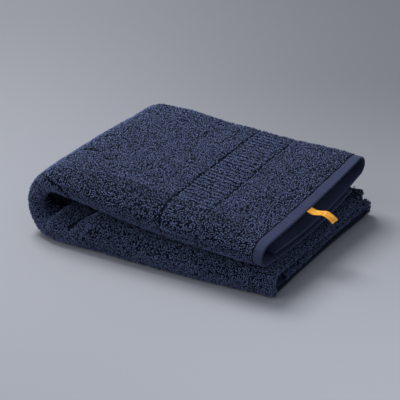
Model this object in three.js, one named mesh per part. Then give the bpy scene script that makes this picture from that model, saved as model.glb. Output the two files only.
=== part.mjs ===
// A terry bath towel, folded and lying on a flat surface, with its sewn-in label.
//
// The towel is one cloth. It is folded in half along its length, then in thirds across its width, then in
// half once more, so it lies as two packets joined by an open bend at the left end. The hem end lies on top
// at the right. Lengths are in millimetres, angles in degrees, with +Z up and +X towards the hem end.
//
// The folded strip is followed from the hem end, round the bend, to the first fold under the hem end. Two
// cloths run along it, one against the other: the one seen from outside and, inside it, the one that comes
// back from the first fold.
import * as THREE from 'three';
import { mergeVertices } from 'three/addons/utils/BufferGeometryUtils.js';

// the cloth
const cloth = {
  thick: 4.6, // pile and ground together
  apart: 5.2, // between the middles of the two cloths
  hemThick: 3.0,
  hemWidth: 11,
  hemStep: 2, // over which the hem thickens to the pile
  innerEnd: 46, // how far the inner end is set back from the outer one
};

// the woven border near the hem end: two grooves with ribs between them
const border = {
  firstGroove: 90, // from the hem end
  secondGroove: 141,
  grooveDepth: 1.5,
  grooveHalf: 3,
  ribPitch: 7.9,
  ribHeight: 0.9,
  sink: 0.3, // of the ribs' ground below the pile
  skew: 4, // the border's drift along the towel from the middle of the cover to its edges
  driftLimit: 1.4, // of that drift past the edges, as a share of it
};

const fold = {
  middleHeight: 38, // of the line between the two packets
  backRound: 11,
  tightest: 5.5, // radius of the sharpest turn of a fold, which leaves room for the inner cloth
  bulge: 5, // of the bend, in the middle of the width
  bulgeTurn: 165, // direction of the outer side where the bend bulges most
  foldBow: 3, // of the first fold's line, drawn in between its corners
  bowStart: 290, // place along from which the lower packet draws in, over the next bowOver
  bowOver: 50,
  lipEnd: 3, // between the end of the lip and the edge of the flap behind it
  curlWidth: 13,
};

const label = {
  width: 12.5,
  thick: 1.0,
  gap: 0.3,
  root: 0.59, // place of its root along the cover's end, from the back fold to the front one
  steps: 16,
};

// The strip's line. at: distance from the hem end. along: place of the section's foot. turn: direction of
// the strip's outer side, 90 up, 180 left, 270 down. front and back: the edges. shoulder and heel: depth of
// the front fold's round at the cover and at the lower flap. short: how far the under flap stops from the
// front. tuck: how far the lower flap stops from the back.
const pathColumns = ['at', 'along', 'turn', 'front', 'back', 'shoulder', 'heel', 'short', 'tuck'];
const path = [
  [0, 336, 90, 4, 260, 21, 15, 29, 31],
  [14, 322, 90, 4, 260, 23, 15, 29, 31],
  [41, 295, 90, 3, 259, 26, 15, 29, 30],
  [81, 255, 90, 3, 258, 30, 15, 29, 29],
  [131, 205, 90, 3, 258, 32, 15, 30, 29],
  [181, 155, 90, 3, 258, 32, 15, 32, 29],
  [224, 112, 90, 3, 258, 30, 14, 36, 29],
  [254, 82, 90, 3, 258, 28, 13, 38, 29],
  [278, 58, 90, 3, 258, 24, 13, 38, 29],
  [292, 48.5, 105, 3, 258, 20, 12, 40, 29],
  [309, 47.5, 127, 4, 257, 16, 12, 40, 29],
  [326, 48, 150, 4, 256, 13, 12, 40, 29],
  [348, 48, 180, 3, 255, 12, 12, 40, 29],
  [370, 48, 210, 1, 255, 12, 12, 40, 29],
  [388, 47, 235, -2.5, 256, 11, 13, 42, 29],
  [404, 49, 258, -6, 257, 10, 14, 43, 29],
  [416, 58, 270, -7, 258, 9, 16, 43, 29],
  [429, 71, 270, -7, 258, 9, 17, 42, 29],
  [447, 89, 270, -6, 258, 9, 18, 38, 29],
  [468, 110, 270, -5, 258, 9, 18, 34, 28],
  [513, 156, 270, -4, 258, 9, 18, 32, 27],
  [563, 206.5, 270, -2, 258, 9, 18, 30, 25],
  [613, 257, 270, 1, 258, 9, 18, 29, 22],
  [653, 297, 270, 5, 258, 9, 18, 29, 19],
  [680, 325, 270, 8, 258, 10, 16, 29, 18],
  [699, 344, 270, 9, 258, 11, 14, 29, 18],
];

// The three folded-over layers, each of two cloths, as distances outward from the line between the packets
// at the front, in the middle and at the back. lip: how much the lower flap stands out at the front fold.
// curl: how much its far edge curls towards the line between the packets.
const layerColumns = [
  'at', 'coverFront', 'coverMiddle', 'coverBack', 'underFront', 'underMiddle', 'underBack',
  'lowerFront', 'lowerMiddle', 'lowerBack', 'lip', 'curl',
];
const layers = [
  [0, 24, 28, 41, 15, 8, 24.5, 5, -1.5, 14, 0, 0],
  [14, 27, 31, 41.1, 16, 10, 24.5, 6, -1, 13.5, 0, 0],
  [41, 31.5, 35, 40.8, 18, 12.6, 24, 6.2, 0.4, 12.5, 0, 0],
  [81, 36, 38, 40.4, 20, 16, 23, 6.4, 2, 9.3, 0, 0],
  [131, 41, 41, 41.8, 22, 18.5, 21.8, 8.2, 3.4, 6, 0, 0],
  [181, 44, 43.5, 42.6, 25, 22.5, 22.5, 11.5, 7.8, 7, 0, 0],
  [224, 45.5, 46, 44.7, 30, 28, 28, 17.5, 13, 12, 0, 0],
  [254, 46, 47, 46, 33.5, 32, 32, 21.5, 19, 18, 0, 0],
  [278, 46, 47.4, 45.3, 34.5, 34, 32.5, 22.5, 21, 20, 1, 0],
  [292, 45, 47, 46, 34, 34, 32, 22.5, 22, 20.5, 4, 0],
  [309, 42.6, 44.3, 44.6, 30.8, 30.8, 29.1, 20.2, 20.2, 18.6, 7.5, 0],
  [326, 41.2, 43.2, 42.8, 29.7, 29.7, 27.8, 19.3, 19.3, 17.3, 8.5, 0],
  [348, 39.5, 40.3, 39.6, 29, 29, 27.5, 18.6, 18.6, 17, 8.5, 0],
  [370, 37, 37.2, 37, 26.6, 26.6, 25.7, 16.2, 16.2, 15.3, 8.5, 0],
  [388, 35.6, 35.6, 35.3, 25.1, 25.1, 24.5, 14.5, 14.5, 14, 6, 0],
  [404, 33.4, 33.4, 33.3, 23, 23, 22.6, 10.5, 10.5, 12, 1, 0],
  [416, 33.1, 33.1, 33.1, 22.7, 22.7, 22.3, 10, 10.5, 12, 3, 0],
  [429, 33.1, 33.1, 33.1, 22.7, 22.7, 22.3, 10, 12, 12, 2, 0],
  [447, 33.1, 33.1, 33.1, 22.4, 22.4, 22.3, 5.5, 11, 11.8, 0, 0],
  [468, 33.1, 33.1, 33.1, 21.8, 21.8, 22, -5, 3, 6, 0, 0],
  [513, 33.1, 33.1, 33.1, 22, 22, 22.1, 0, 4, 5, 0, 0],
  [563, 33.1, 33.1, 33.1, 22.3, 22.3, 22.3, 2.9, 7.6, 8, 0, 0],
  [613, 33.1, 33.1, 33.1, 22.6, 22.6, 20.2, 5.2, 9.5, 8, 0, 0],
  [653, 33.1, 33.1, 33.1, 22.6, 22.6, 18, 5.8, 11.4, 6.5, 0, 0],
  [680, 33.1, 33.1, 33.1, 22.7, 22.7, 16.8, 5.8, 12, 5.4, 0, 8],
  [699, 33.1, 33.1, 33.1, 22.7, 22.7, 16.5, 5.8, 12, 5, 0, 10],
];

// the label's line in its own plane: out from the hem end, and up from the hem's middle
const labelLine = [
  [0, 0],
  [7, -2.4],
  [14, -1.4],
  [20, 0],
  [27, -2],
  [34.5, -7],
];

// where the section is cut in the under flap, back fold, cover, front fold and lower flap
const sectionCuts = [
  [0.35, 0.7, 1],
  [0.18, 0.4, 0.6, 0.82, 1],
  [0.2, 0.4, 0.6, 0.8, 1],
  [0.13, 0.26, 0.38, 0.5, 0.62, 0.74, 0.87, 1],
  [0.06, 0.13, 0.4, 0.7, 0.93, 1],
];
// flat width of the same five parts, from edge to edge of the cloth
const partWidths = [218, 34, 215, 62, 210];

// distances from the hem end at which a row of points crosses the strip, apart from those of the border
const hemRows = [0, cloth.hemWidth, cloth.hemWidth + cloth.hemStep];
const topRows = [27, cloth.innerEnd, 64];
const otherRows = [
  181, 203, 224, 254, 278, 292, 309, 317, 326, 337, 348, 359, 370, 379, 388, 396, 404, 416, 429, 447, 468,
  490, 513, 563, 613, 653, 680, 699,
];
const innerPlaces = [cloth.innerEnd, 64, 87, 110, 134]; // on the inner cloth, up to the other rows
const noseSteps = 5;

// monotone cubic through the points (xs, ys), read at x
function smoothThrough(xs, ys, x) {
  const last = xs.length - 1;
  const step = (i) => xs[i + 1] - xs[i];
  const rise = (i) => (ys[i + 1] - ys[i]) / step(i);
  const slope = (i) => {
    if (i === 0) return rise(0);
    if (i === last) return rise(last - 1);
    const before = rise(i - 1);
    const after = rise(i);
    if (before * after <= 0) return 0;
    const w1 = 2 * step(i) + step(i - 1);
    const w2 = step(i) + 2 * step(i - 1);
    return (w1 + w2) / (w1 / before + w2 / after);
  };
  let k = 0;
  while (k < last - 1 && x >= xs[k + 1]) k += 1;
  const h = step(k);
  const t = (x - xs[k]) / h;
  const start = (2 * t ** 3 - 3 * t ** 2 + 1) * ys[k] + (t ** 3 - 2 * t ** 2 + t) * h * slope(k);
  const end = (3 * t ** 2 - 2 * t ** 3) * ys[k + 1] + (t ** 3 - t ** 2) * h * slope(k + 1);
  return start + end;
}

// all named columns of a table at one distance from the hem end
function readTable(columns, table, at) {
  const places = table.map((row) => row[0]);
  const found = {};
  columns.slice(1).forEach((name, i) => {
    found[name] = smoothThrough(places, table.map((row) => row[i + 1]), at);
  });
  return found;
}

const stationsRead = new Map();
function station(at) {
  if (!stationsRead.has(at)) {
    stationsRead.set(at, { ...readTable(pathColumns, path, at), ...readTable(layerColumns, layers, at) });
  }
  return stationsRead.get(at);
}

const clamp01 = (x) => Math.min(1, Math.max(0, x));
const ease = (x) => clamp01(x) ** 2 * (3 - 2 * clamp01(x));
const radians = (degrees) => (degrees * Math.PI) / 180;

// distance of a layer from the line between the packets, at the place y across the strip
function layerLevel(s, layer, y) {
  const t = (y - s.front) / (s.back - s.front);
  return s[`${layer}Front`] * (1 - t) * (1 - 2 * t)
    + s[`${layer}Middle`] * 4 * t * (1 - t)
    + s[`${layer}Back`] * t * (2 * t - 1);
}

function lowerLevel(s, y) {
  const lipReach = s.front + s.short - fold.lipEnd;
  const lip = s.lip * (1 - ease((y - s.front - s.heel) / (lipReach - s.front - s.heel)));
  const curl = s.curl * ease((y - (s.back - s.tuck - fold.curlWidth)) / fold.curlWidth);
  return layerLevel(s, 'lower', y) + lip - curl;
}

// The section's line: u runs 0 to 1 along the under flap, 1 to 2 round the back fold, 2 to 3 over the cover,
// 3 to 4 round the front fold and 4 to 5 along the lower flap. Returns the place across and outward.
function sectionPoint(s, u) {
  const part = Math.min(4, Math.max(0, Math.floor(u)));
  const q = u - part;
  const backHalf = (layerLevel(s, 'cover', s.back) - layerLevel(s, 'under', s.back)) / 2;
  const backDepth = Math.min(fold.backRound, backHalf ** 2 / fold.tightest);
  const frontHalf = (layerLevel(s, 'cover', s.front) - lowerLevel(s, s.front)) / 2;
  const shoulder = Math.min(s.shoulder, frontHalf ** 2 / fold.tightest);
  const heel = Math.min(s.heel, frontHalf ** 2 / fold.tightest);
  const yBack = s.back - backDepth;
  const yCover = s.front + shoulder;
  const yLower = s.front + heel;
  if (part === 0) {
    const y = s.front + s.short + (yBack - s.front - s.short) * q;
    return [y, layerLevel(s, 'under', y)];
  }
  if (part === 1) {
    const outer = layerLevel(s, 'cover', yBack);
    const inner = layerLevel(s, 'under', yBack);
    const a = Math.PI * q;
    return [yBack + backDepth * Math.sin(a), (outer + inner) / 2 - ((outer - inner) / 2) * Math.cos(a)];
  }
  if (part === 2) {
    const y = yBack - (yBack - yCover) * q;
    return [y, layerLevel(s, 'cover', y)];
  }
  if (part === 3) {
    const outer = layerLevel(s, 'cover', yCover);
    const inner = lowerLevel(s, yLower);
    const a = Math.PI * q;
    const depth = q < 0.5 ? shoulder : heel;
    return [s.front + depth * (1 - Math.sin(a)), (outer + inner) / 2 + ((outer - inner) / 2) * Math.cos(a)];
  }
  const y = yLower + (s.back - s.tuck - yLower) * q;
  return [y, lowerLevel(s, y)];
}

// A point of the towel: at and u say where on the strip, off how far outward from the line between the two
// cloths, and beyond how far past the last station, round the first fold.
function towelPoint(at, u, off, beyond = 0) {
  const s = station(at);
  const small = 1e-3;
  const [y0, r0] = sectionPoint(s, u);
  const [yA, rA] = sectionPoint(s, Math.max(0, u - small));
  const [yB, rB] = sectionPoint(s, Math.min(5 - 1e-9, u + small));
  const size = Math.hypot(yB - yA, rB - rA);
  const y = y0 + (off * (rB - rA)) / size;
  const r = r0 - (off * (yB - yA)) / size;
  const turn = radians(s.turn);
  let x = s.along + Math.cos(turn) * r + beyond;
  const z = fold.middleHeight + Math.sin(turn) * r;
  const across = (y - s.front) / (s.back - s.front);
  const crown = 4 * across * (1 - across);
  x -= fold.bulge * crown * clamp01(Math.cos(turn - radians(fold.bulgeTurn))) ** 2;
  const underside = clamp01((s.turn - 180) / 90);
  x -= fold.foldBow * crown * underside * clamp01((x - fold.bowStart) / fold.bowOver);
  return [x, y, z];
}

// flat place across the cloth, from the under flap's edge
function flatWidth(u) {
  const part = Math.min(4, Math.floor(u));
  const before = partWidths.slice(0, part).reduce((sum, w) => sum + w, 0);
  return before + partWidths[part] * (u - part);
}

const coverMiddle = flatWidth(2.5);
function borderDrift(u) {
  const share = (coverMiddle - flatWidth(u)) / (partWidths[2] / 2);
  return border.skew * Math.max(-border.driftLimit, Math.min(border.driftLimit, share));
}

// the steps of a plain row, the same on both faces of the cloth
const plainSteps = [0];
sectionCuts.forEach((cuts, part) => {
  cuts.forEach((cut) => plainSteps.push(Math.min(5 - 1e-9, part + cut)));
});

// the steps of a ribbed row: two to a rib over the cover and the front fold, and plain ones elsewhere
function ribbedSteps() {
  const start = 2;
  const end = 4;
  const steps = plainSteps.filter((u) => u < start - 1e-6).map((u) => [u, 0]);
  const ribs = Math.round((flatWidth(end) - flatWidth(start)) / border.ribPitch);
  for (let i = 0; i <= 2 * ribs; i += 1) {
    const w = flatWidth(start) + ((flatWidth(end) - flatWidth(start)) * i) / (2 * ribs);
    const onCover = w < flatWidth(3);
    const u = onCover ? 2 + (w - flatWidth(2)) / partWidths[2] : 3 + (w - flatWidth(3)) / partWidths[3];
    steps.push([u, i % 2]);
  }
  return steps.concat(plainSteps.filter((u) => u > end + 1e-6).map((u) => [u, 0]));
}

// thickness of the cloth from its middle to one face, at a distance from the hem end
function halfThick(at) {
  const hem = 1 - ease((at - cloth.hemWidth) / cloth.hemStep);
  return (cloth.thick - (cloth.thick - cloth.hemThick) * hem) / 2;
}

// one row of points across the outer cloth, on one of its faces: each point with its step u
function clothRow(at, face) {
  return plainSteps.map((u) => ({ u, point: towelPoint(at, u, cloth.apart / 2 + face * halfThick(at)) }));
}

// a row in the border, with its ground below the pile and its ribs' crests above the ground on the outer face
function borderRow(at, face, ground, rib) {
  const steps = face > 0 ? ribbedSteps() : plainSteps.map((u) => [u, 0]);
  return steps.map(([u, crest]) => {
    const relief = face > 0 ? ground + crest * rib : 0;
    return { u, point: towelPoint(at + borderDrift(u), u, cloth.apart / 2 + face * halfThick(at) + relief) };
  });
}

function outerClothRows(face) {
  const plain = (at) => clothRow(at, face);
  const { firstGroove: first, secondGroove: second, grooveHalf: half, grooveDepth } = border;
  const borderPlaces = [
    [first - half, 0, 0],
    [first, -grooveDepth, 0],
    [first + half, -border.sink, border.ribHeight],
    [(first + second) / 2, -border.sink, border.ribHeight],
    [second - half, -border.sink, border.ribHeight],
    [second, -grooveDepth, 0],
    [second + half, 0, 0],
  ];
  const borderRows = borderPlaces.map(([at, ground, rib]) => borderRow(at, face, ground, rib));
  return [...hemRows.map(plain), ...topRows.map(plain), ...borderRows, ...otherRows.map(plain)];
}

// the rows round the first fold: the middle of the cloth turns half a circle from the outer to the inner side
function firstFoldRows(face) {
  const last = otherRows[otherRows.length - 1];
  const radius = cloth.apart / 2 + (face * cloth.thick) / 2;
  const rows = [];
  for (let i = 1; i < noseSteps; i += 1) {
    const a = (Math.PI * i) / noseSteps;
    rows.push(plainSteps.map((u) => ({
      u,
      point: towelPoint(last, u, radius * Math.cos(a), radius * Math.sin(a)),
    })));
  }
  return rows;
}

function innerClothRows(face) {
  const places = [...innerPlaces, ...otherRows];
  const middle = -cloth.apart / 2;
  return places.reverse().map((at) => plainSteps.map((u) => ({
    u,
    point: towelPoint(at, u, middle - (face * cloth.thick) / 2),
  })));
}

// A growing list of points and triangles.
class Skin {
  constructor() {
    this.points = [];
    this.triangles = [];
  }

  addRow(row) {
    return row.map(({ u, point }) => ({ u, index: this.points.push(point) - 1 }));
  }

  // triangles between two rows that may have different steps
  joinRows(rowA, rowB, flip) {
    let i = 0;
    let j = 0;
    while (i < rowA.length - 1 || j < rowB.length - 1) {
      const nextA = i < rowA.length - 1 ? rowA[i + 1].u : Infinity;
      const nextB = j < rowB.length - 1 ? rowB[j + 1].u : Infinity;
      const a = rowA[i].index;
      const b = rowB[j].index;
      let c;
      if (nextA <= nextB) {
        i += 1;
        c = rowA[i].index;
      } else {
        j += 1;
        c = rowB[j].index;
      }
      this.triangles.push(flip ? [a, c, b] : [a, b, c]);
    }
  }

  toGeometry() {
    const flat = [];
    this.triangles.forEach((triangle) => triangle.forEach((k) => flat.push(...this.points[k])));
    const geometry = new THREE.BufferGeometry();
    geometry.setAttribute('position', new THREE.Float32BufferAttribute(flat, 3));
    return mergeVertices(geometry, 1e-4);
  }
}

// A closed sheet from its two faces, each a list of rows that run the same way. From the row turnBack on, the
// sheet runs back along itself, and its triangles lie as those of the stretch beside it do.
function closedSheet(outerRows, innerRows, turnBack = Infinity) {
  const skin = new Skin();
  const outer = outerRows.map((row) => skin.addRow(row));
  const inner = innerRows.map((row) => skin.addRow(row));
  const last = outer.length - 1;
  for (let k = 0; k < last; k += 1) {
    if (k < turnBack) {
      skin.joinRows(outer[k], outer[k + 1], false);
      skin.joinRows(inner[k], inner[k + 1], true);
    } else {
      skin.joinRows(outer[k + 1], outer[k], true);
      skin.joinRows(inner[k + 1], inner[k], false);
    }
    // the two long edges
    const near = (row) => row[0];
    const far = (row) => row[row.length - 1];
    skin.joinRows([near(outer[k]), near(outer[k + 1])], [near(inner[k]), near(inner[k + 1])], false);
    skin.joinRows([far(outer[k]), far(outer[k + 1])], [far(inner[k]), far(inner[k + 1])], true);
  }
  skin.joinRows(outer[0], inner[0], true);
  skin.joinRows(outer[last], inner[last], false);
  return skin.toGeometry();
}

function towelGeometry() {
  const face = (side) => [...outerClothRows(side), ...firstFoldRows(side), ...innerClothRows(side)];
  const turnBack = outerClothRows(1).length + firstFoldRows(1).length;
  return closedSheet(face(1), face(-1), turnBack);
}

// the label: a ribbon that waves out from the hem end and hangs a little at its tip
function labelGeometry() {
  const outs = labelLine.map((row) => row[0]);
  const ups = labelLine.map((row) => row[1]);
  const reach = outs[outs.length - 1];
  const root = towelPoint(0, 2 + label.root, cloth.apart / 2);
  const line = (t) => [reach * t, smoothThrough(outs, ups, reach * t)];
  const rows = (face) => Array.from({ length: label.steps + 1 }, (_, k) => {
    const t = k / label.steps;
    const [xA, zA] = line(Math.max(0, t - 0.01));
    const [xB, zB] = line(Math.min(1, t + 0.01));
    const [x, z] = line(t);
    const size = Math.hypot(xB - xA, zB - zA);
    const lift = (face * label.thick) / 2;
    return [-1, 1].map((edge) => ({
      u: edge,
      point: [
        root[0] + label.gap + x + (k === 0 ? 0 : (-lift * (zB - zA)) / size),
        root[1] + (edge * label.width) / 2,
        root[2] + z + (lift * (xB - xA)) / size,
      ],
    }));
  });
  return closedSheet(rows(1), rows(-1));
}

const towelMaterial = new THREE.MeshStandardMaterial({ color: 0x363d54, roughness: 0.95, metalness: 0 });
const labelMaterial = new THREE.MeshStandardMaterial({ color: 0xe8a234, roughness: 0.6, metalness: 0 });

const towel = new THREE.Mesh(towelGeometry(), towelMaterial);
towel.name = 'towel_cloth';
const sewnLabel = new THREE.Mesh(labelGeometry(), labelMaterial);
sewnLabel.name = 'label_ribbon';

// the origin is the middle of the footprint, on the surface that the towel lies on
const part = new THREE.Group();
part.add(towel, sewnLabel);
const box = new THREE.Box3().setFromObject(part);
const centre = box.getCenter(new THREE.Vector3());
part.children.forEach((mesh) => mesh.geometry.translate(-centre.x, -centre.y, -box.min.z));

export default part;
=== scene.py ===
import math

import bmesh
import bpy
import numpy as np
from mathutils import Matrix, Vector


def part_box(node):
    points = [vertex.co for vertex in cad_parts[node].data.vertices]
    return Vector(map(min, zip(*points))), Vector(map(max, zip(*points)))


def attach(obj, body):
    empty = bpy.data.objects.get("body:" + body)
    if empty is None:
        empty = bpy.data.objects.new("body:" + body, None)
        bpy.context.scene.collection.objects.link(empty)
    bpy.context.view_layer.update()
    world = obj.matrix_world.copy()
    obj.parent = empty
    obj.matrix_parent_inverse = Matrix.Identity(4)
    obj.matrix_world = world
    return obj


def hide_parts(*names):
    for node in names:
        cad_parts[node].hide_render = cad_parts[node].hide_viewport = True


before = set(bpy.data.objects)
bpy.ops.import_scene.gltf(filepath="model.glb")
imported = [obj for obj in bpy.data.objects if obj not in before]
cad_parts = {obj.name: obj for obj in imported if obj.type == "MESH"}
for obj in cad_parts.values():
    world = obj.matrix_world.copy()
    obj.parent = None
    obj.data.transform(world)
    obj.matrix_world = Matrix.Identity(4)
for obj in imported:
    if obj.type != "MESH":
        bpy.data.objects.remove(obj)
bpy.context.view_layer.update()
mm = 0.001
print("stage: frame loaded")


# the towel's form

cloth = {
    "thick": 4.6,  # pile and ground together
    "apart": 5.2,  # between the middles of the outer and the inner cloth
    "hemThick": 3.0,
    "hemWidth": 11.0,
    "hemStep": 2.0,  # over which the hem thickens to the pile
    "hemWander": 0.7,  # of the hem's inner line
    "innerEnd": 46.0,  # how far the inner end is set back from the outer one
}
border = {
    "firstGroove": 90.0,
    "secondGroove": 141.0,
    "grooveHalf": 2.3,
    "grooveDepth": 1.0,
    "grooveFall": 1.4,  # steepness of the grooves' sides
    "worn": 0.86,  # what is left of the first groove, over which the pile closes here and there
    "wornChange": 0.34,
    "ribCount": 35,
    "ribHeight": 0.6,
    "skew": 4.0,  # the border's drift along the towel from the middle of the cover to its edges
    "skewLimit": 1.4,  # in half widths of the cover
    "driftFrom": 60,
    "driftTo": 172,
    "driftFade": 20,
}
fold = {
    "middleHeight": 38.0,  # of the line between the two packets
    "backRound": 11.0,
    "tightest": 5.5,
    "bulge": 5.0,  # of the bend, at the middle of the width
    "bulgeTurn": 165,  # direction in which it is greatest
    "bow": 3.0,  # of the first fold's line, drawn in between its corners
    "bowFrom": 290,
    "bowOver": 50,
    "lipEnd": 3.0,
    "curlWidth": 13.0,
}
# flat widths of the under flap, back fold, cover, front fold and lower flap
partWidths = [218.0, 34.0, 215.0, 62.0, 210.0]
partEdges = np.concatenate([[0.0], np.cumsum(partWidths)])
coverStart, coverEnd, frontFoldEnd, clothEdge = partEdges[2:]
coverMiddle = (coverStart + coverEnd) / 2
noseReach = (cloth["apart"] + cloth["thick"]) / 2  # from the line between the two cloths to the outer face

# the strip's line, a row for each place along it. turn is the direction of its outer side: 90 up, 270 down
pathColumns = "at along turn front back shoulder heel short tuck".split()
path = [
    (0, 336, 90, 4, 260, 21, 15, 29, 31),
    (14, 322, 90, 4, 260, 23, 15, 29, 31),
    (41, 295, 90, 3, 259, 26, 15, 29, 30),
    (81, 255, 90, 3, 258, 30, 15, 29, 29),
    (131, 205, 90, 3, 258, 32, 15, 30, 29),
    (181, 155, 90, 3, 258, 32, 15, 32, 29),
    (224, 112, 90, 3, 258, 30, 14, 36, 29),
    (254, 82, 90, 3, 258, 28, 13, 38, 29),
    (278, 58, 90, 3, 258, 24, 13, 38, 29),
    (292, 48.5, 105, 3, 258, 20, 12, 40, 29),
    (309, 47.5, 127, 4, 257, 16, 12, 40, 29),
    (326, 48, 150, 4, 256, 13, 12, 40, 29),
    (348, 48, 180, 3, 255, 12, 12, 40, 29),
    (370, 48, 210, 1, 255, 12, 12, 40, 29),
    (388, 47, 235, -2.5, 256, 11, 13, 42, 29),
    (404, 49, 258, -6, 257, 10, 14, 43, 29),
    (416, 58, 270, -7, 258, 9, 16, 43, 29),
    (429, 71, 270, -7, 258, 9, 17, 42, 29),
    (447, 89, 270, -6, 258, 9, 18, 38, 29),
    (468, 110, 270, -5, 258, 9, 18, 34, 28),
    (513, 156, 270, -4, 258, 9, 18, 32, 27),
    (563, 206.5, 270, -2, 258, 9, 18, 30, 25),
    (613, 257, 270, 1, 258, 9, 18, 29, 22),
    (653, 297, 270, 5, 258, 9, 18, 29, 19),
    (680, 325, 270, 8, 258, 10, 16, 29, 18),
    (699, 344, 270, 9, 258, 11, 14, 29, 18),
]
lastRun = path[-1][0]

# the folded-over layers, outward from the line between the packets: at the front, in the middle and at the
# back of the cover, the under flap and the lower flap, with the lower flap's lip and curl
layerColumns = (
    "at coverFront coverMiddle coverBack underFront underMiddle underBack "
    "lowerFront lowerMiddle lowerBack lip curl"
).split()
layers = [
    (0, 24, 28, 41, 15, 8, 24.5, 5, -1.5, 14, 0, 0),
    (14, 27, 31, 41.1, 16, 10, 24.5, 6, -1, 13.5, 0, 0),
    (41, 31.5, 35, 40.8, 18, 12.6, 24, 6.2, 0.4, 12.5, 0, 0),
    (81, 36, 38, 40.4, 20, 16, 23, 6.4, 2, 9.3, 0, 0),
    (131, 41, 41, 41.8, 22, 18.5, 21.8, 8.2, 3.4, 6, 0, 0),
    (181, 44, 43.5, 42.6, 25, 22.5, 22.5, 11.5, 7.8, 7, 0, 0),
    (224, 45.5, 46, 44.7, 30, 28, 28, 17.5, 13, 12, 0, 0),
    (254, 46, 47, 46, 33.5, 32, 32, 21.5, 19, 18, 0, 0),
    (278, 46, 47.4, 45.3, 34.5, 34, 32.5, 22.5, 21, 20, 1, 0),
    (292, 45, 47, 46, 34, 34, 32, 22.5, 22, 20.5, 4, 0),
    (309, 42.6, 44.3, 44.6, 30.8, 30.8, 29.1, 20.2, 20.2, 18.6, 7.5, 0),
    (326, 41.2, 43.2, 42.8, 29.7, 29.7, 27.8, 19.3, 19.3, 17.3, 8.5, 0),
    (348, 39.5, 40.3, 39.6, 29, 29, 27.5, 18.6, 18.6, 17, 8.5, 0),
    (370, 37, 37.2, 37, 26.6, 26.6, 25.7, 16.2, 16.2, 15.3, 8.5, 0),
    (388, 35.6, 35.6, 35.3, 25.1, 25.1, 24.5, 14.5, 14.5, 14, 6, 0),
    (404, 33.4, 33.4, 33.3, 23, 23, 22.6, 10.5, 10.5, 12, 1, 0),
    (416, 33.1, 33.1, 33.1, 22.7, 22.7, 22.3, 10, 10.5, 12, 3, 0),
    (429, 33.1, 33.1, 33.1, 22.7, 22.7, 22.3, 10, 12, 12, 2, 0),
    (447, 33.1, 33.1, 33.1, 22.4, 22.4, 22.3, 5.5, 11, 11.8, 0, 0),
    (468, 33.1, 33.1, 33.1, 21.8, 21.8, 22, -5, 3, 6, 0, 0),
    (513, 33.1, 33.1, 33.1, 22, 22, 22.1, 0, 4, 5, 0, 0),
    (563, 33.1, 33.1, 33.1, 22.3, 22.3, 22.3, 2.9, 7.6, 8, 0, 0),
    (613, 33.1, 33.1, 33.1, 22.6, 22.6, 20.2, 5.2, 9.5, 8, 0, 0),
    (653, 33.1, 33.1, 33.1, 22.6, 22.6, 18, 5.8, 11.4, 6.5, 0, 0),
    (680, 33.1, 33.1, 33.1, 22.7, 22.7, 16.8, 5.8, 12, 5.4, 0, 8),
    (699, 33.1, 33.1, 33.1, 22.7, 22.7, 16.5, 5.8, 12, 5, 0, 10),
]

# the cover's swells, and the stretch in which they and the dents show
swell = {
    "broad": 1.2,
    "broadCell": 62,
    "narrow": 0.8,
    "narrowCell": 27,
    "from": -4,
    "fadeIn": 30,
    "to": 410,
    "fadeOut": 60,
}
# dents and soft ridges in the cover: place along and across, half length, half width, height outward
dents = [
    (268, 90, 18, 9, -1.4),
    (276, 70, 10, 16, -1.2),
    (238, 60, 26, 8, 0.9),
    (205, 118, 34, 10, -1.1),
    (178, 66, 22, 12, 0.9),
    (66, 205, 22, 16, -1.0),
    (58, 120, 20, 30, 0.8),
    (160, 196, 30, 12, -0.8),
    (34, 52, 12, 14, -0.9),
]

# creases in the pile: run and width of both ends, depth and half width
creases = [
    (288, 410, 274, 412, 2.1, 3.2),
    (260, 429, 247, 432, 2.0, 3.0),
    (292, 489, 276, 500, 2.2, 3.0),
    (276, 500, 262, 513, 2.1, 2.8),
    (212, 505, 176, 520, 0.8, 3.0),
    (330, 538, 356, 551, 2.1, 8.0),
    (356, 551, 388, 556, 2.1, 8.0),
    (433, 512, 443, 550, 2.1, 8.0),
]
# lumps and pockets in the hollow of the bend: run and width, half length, half width, height
lumps = [
    (413, 536, 9, 15, 4.2),
    (398, 572, 9, 12, -1.2),
    (352, 560, 12, 14, 1.2),
]


def ease(x):  # smooth step from 0 to 1
    x = np.clip(x, 0, 1)
    return x * x * (3 - 2 * x)


def softNoise(x, y, cell, seed):
    # value noise from -1 to 1: random values on a lattice, blended by a smooth step in both directions
    lattice = np.random.default_rng(seed).uniform(-1, 1, (256, 256))
    gx, gy = x / cell, y / cell
    ix, iy = np.floor(gx).astype(int), np.floor(gy).astype(int)
    fx, fy = ease(gx - ix), ease(gy - iy)
    low = lattice[ix % 256, iy % 256] * (1 - fx) + lattice[(ix + 1) % 256, iy % 256] * fx
    high = lattice[ix % 256, (iy + 1) % 256] * (1 - fx) + lattice[(ix + 1) % 256, (iy + 1) % 256] * fx
    return low * (1 - fy) + high * fy


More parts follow.
